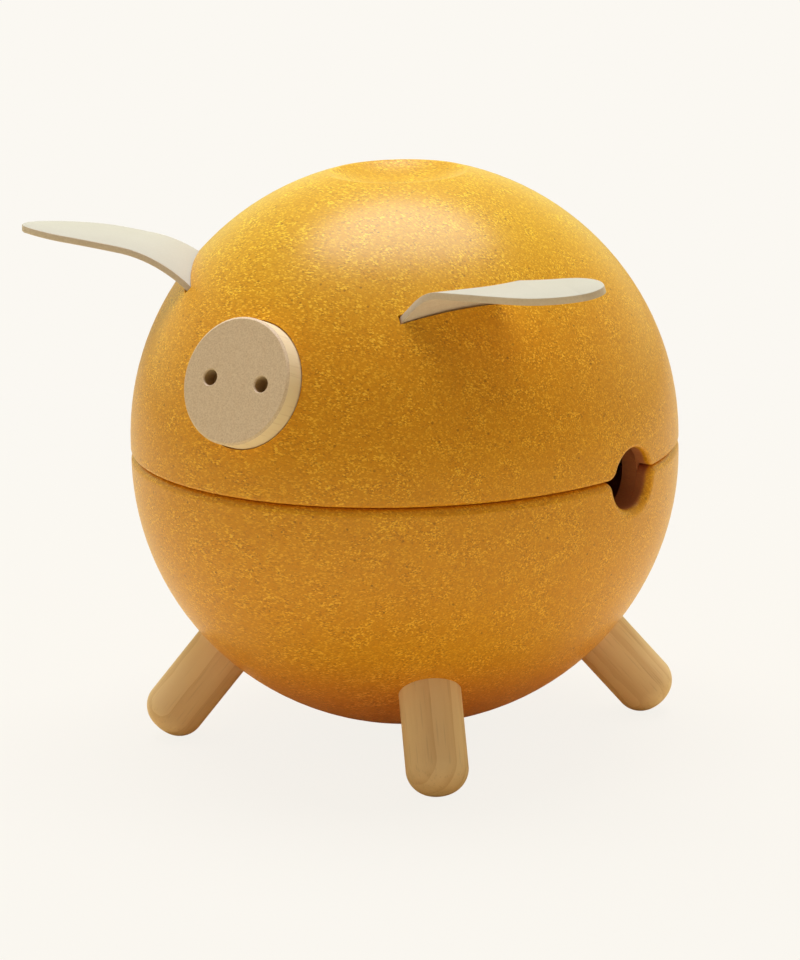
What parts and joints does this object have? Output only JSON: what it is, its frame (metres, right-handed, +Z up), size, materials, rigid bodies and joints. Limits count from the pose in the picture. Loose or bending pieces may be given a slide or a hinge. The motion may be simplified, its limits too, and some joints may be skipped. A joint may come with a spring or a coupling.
{
  "type": "wooden money box",
  "caption": "Ball-shaped wooden pig money box on splayed dowel legs, with a lift-off upper half, dished crown, disc snout, bent leaf ears and a coin slot along its back.",
  "frame": {"origin": "on the ground under the ball's axis, midway between the four feet", "axes": "+Z up along the ball's axis, the snout faces -Y, +X towards the pig's left ear"},
  "size_m": [0.173, 0.1386, 0.1402],
  "materials": {
    "stained_wood": "pressed wood fibre, stained yellow-orange under a satin clear coat",
    "pressed_wood": "bare pressed wood fibre, sanded",
    "pale_wood": "pale close-grained wood, sanded smooth",
    "ear_leather": "matt off-white sheet"
  },
  "bodies": {
    "lower_half": {"lower_shell": "stained_wood", "front_left_leg": "pale_wood", "front_right_leg": "pale_wood", "rear_left_leg": "pale_wood", "rear_right_leg": "pale_wood"},
    "seam_ring": {"joining_ring": "pressed_wood"},
    "upper_half": {"upper_shell": "stained_wood", "snout": "pale_wood", "snout_dowel": "pale_wood", "left_ear": "ear_leather", "right_ear": "ear_leather"}
  },
  "joints": [
    {"name": "head_turn", "type": "hinge", "parent": "lower_half", "child": "seam_ring", "pos_m": [0, 0, 0.0728], "axis": [0, 0, 1], "continuous": true},
    {"name": "head_lift", "type": "slide", "parent": "seam_ring", "child": "upper_half", "axis": [0, 0, 1], "range_m": [0, 0.06]}
  ]
}
